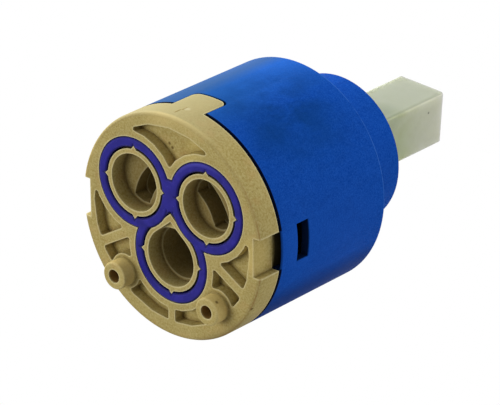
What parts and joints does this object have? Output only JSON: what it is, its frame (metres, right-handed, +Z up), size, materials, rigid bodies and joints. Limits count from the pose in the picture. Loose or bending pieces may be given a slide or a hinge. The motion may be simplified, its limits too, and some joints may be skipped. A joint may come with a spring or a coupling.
{
  "type": "single lever mixer tap cartridge",
  "caption": "Single-lever ceramic mixer tap cartridge: round housing with neck, ported base with gasket and locating pegs, and a square stem that tilts and turns.",
  "frame": {"origin": "centre of the flat seating face under the base", "axes": "+Z up the cartridge's axis towards the lever, +Y towards the outlet port and the locating pegs, the two inlet ports at -Y, one on each side of the YZ plane"},
  "size_m": [0.04, 0.04, 0.0687],
  "materials": {
    "blue_plastic": "moulded, satin, faint flow marks",
    "tan_plastic": "glass-filled, matte, fine grain",
    "gasket_silicone": "smooth soft silicone",
    "seal_rubber": "smooth rubber",
    "ceramic": "lapped ceramic, opaque",
    "stem_plastic": "unpigmented, slightly translucent",
    "rotor_plastic": "moulded, satin",
    "carrier_plastic": "moulded, black",
    "glide_plastic": "smooth, low friction",
    "steel": "stainless"
  },
  "bodies": {
    "casing": {"housing": "blue_plastic", "base": "tan_plastic", "base_gasket": "gasket_silicone", "inlet_seal_left": "seal_rubber", "inlet_seal_right": "seal_rubber", "outlet_seal": "seal_rubber", "fixed_disc": "ceramic", "glide_ring": "glide_plastic"},
    "turret": {"rotor": "rotor_plastic", "pivot_pin": "steel"},
    "handle_lever": {"lever": "stem_plastic"},
    "carriage": {"disc_carrier": "carrier_plastic", "carrier_seal": "seal_rubber", "silencer_pad": "steel", "moving_disc": "ceramic"}
  },
  "joints": [
    {"name": "turn", "type": "hinge", "parent": "casing", "child": "turret", "pos_m": [0, 0, 0.02083], "axis": [0, 0, 1], "range_deg": [-53.5, 46.5]},
    {"name": "tilt", "type": "hinge", "parent": "turret", "child": "handle_lever", "pos_m": [0, 0, 0.03423], "axis": [0.9981, 0.061, 0], "range_deg": [-12.5, 12.5]},
    {"name": "disc_slide", "type": "slide", "parent": "turret", "child": "carriage", "axis": [-0.061, 0.9981, 0], "range_m": [-0.00253, 0.00253]}
  ],
  "couplings": [
    {"joint": "disc_slide", "follows": "tilt", "m_per_rad": 0.0115}
  ]
}
